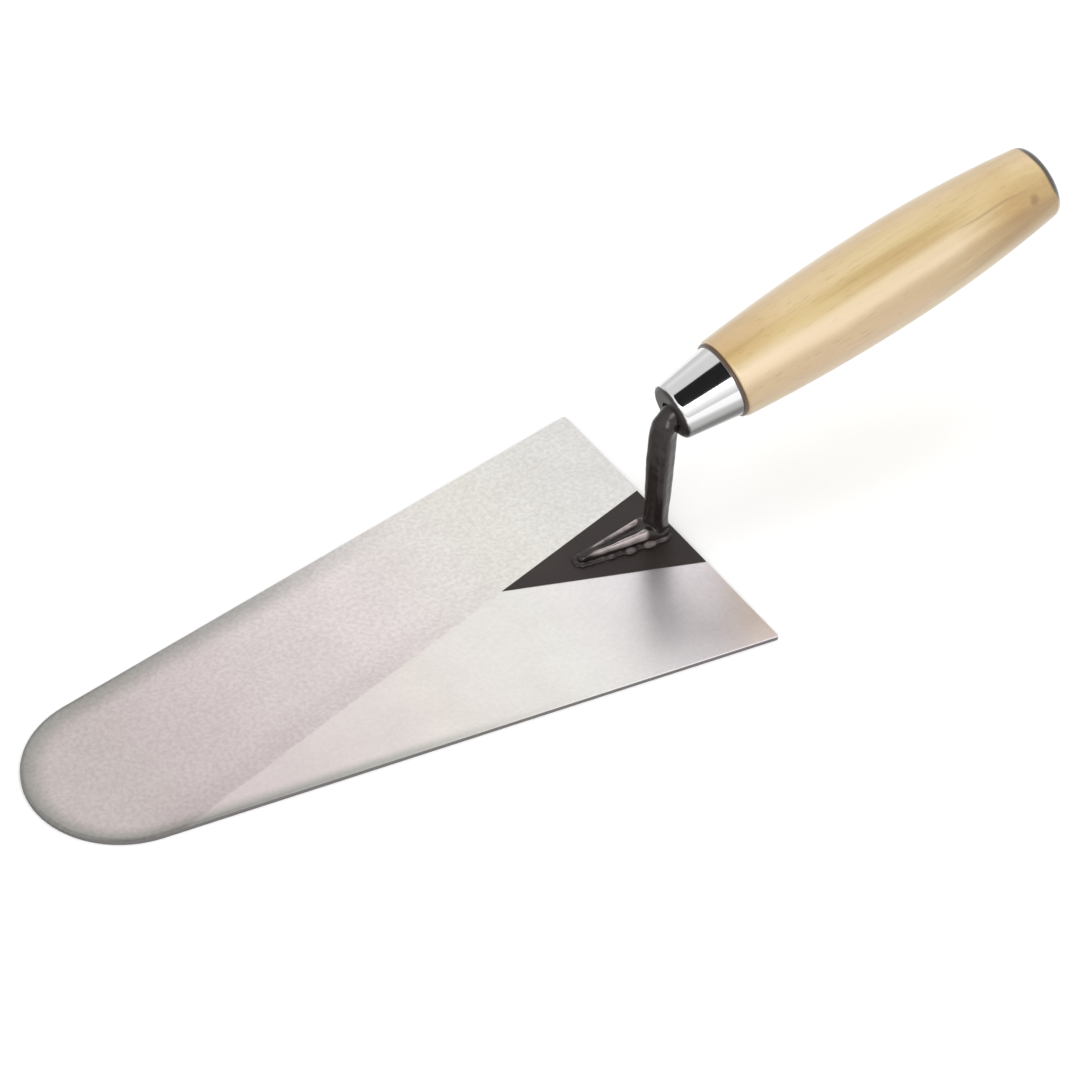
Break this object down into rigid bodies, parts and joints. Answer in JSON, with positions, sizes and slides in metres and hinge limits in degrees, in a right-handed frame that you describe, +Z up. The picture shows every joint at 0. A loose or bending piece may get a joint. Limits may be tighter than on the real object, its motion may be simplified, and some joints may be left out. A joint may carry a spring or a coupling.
{
  "type": "brick trowel",
  "caption": "Hand trowel for bricklaying: flat round-nosed steel blade, cranked neck, chromed ferrule and turned wooden handle.",
  "frame": {"origin": "on the blade's underside, straight below the point where the tang's neck rises from its foot", "axes": "+X forward to the blade's round nose, +Y to the trowel's left, +Z up, out of the blade's working face towards the handle"},
  "size_m": [0.3572, 0.1174, 0.0891],
  "materials": {
    "blade_steel": "belt-ground satin, clear lacquered",
    "black_lacquer": "glossy brown-black lacquer over forged and welded steel",
    "chrome": "bright chrome plate",
    "beech": "turned beech under clear varnish"
  },
  "bodies": {
    "root": {"blade": "blade_steel", "tang": "black_lacquer", "weld_bead": "black_lacquer", "ferrule": "chrome", "handle": "beech"}
  },
  "joints": []
}
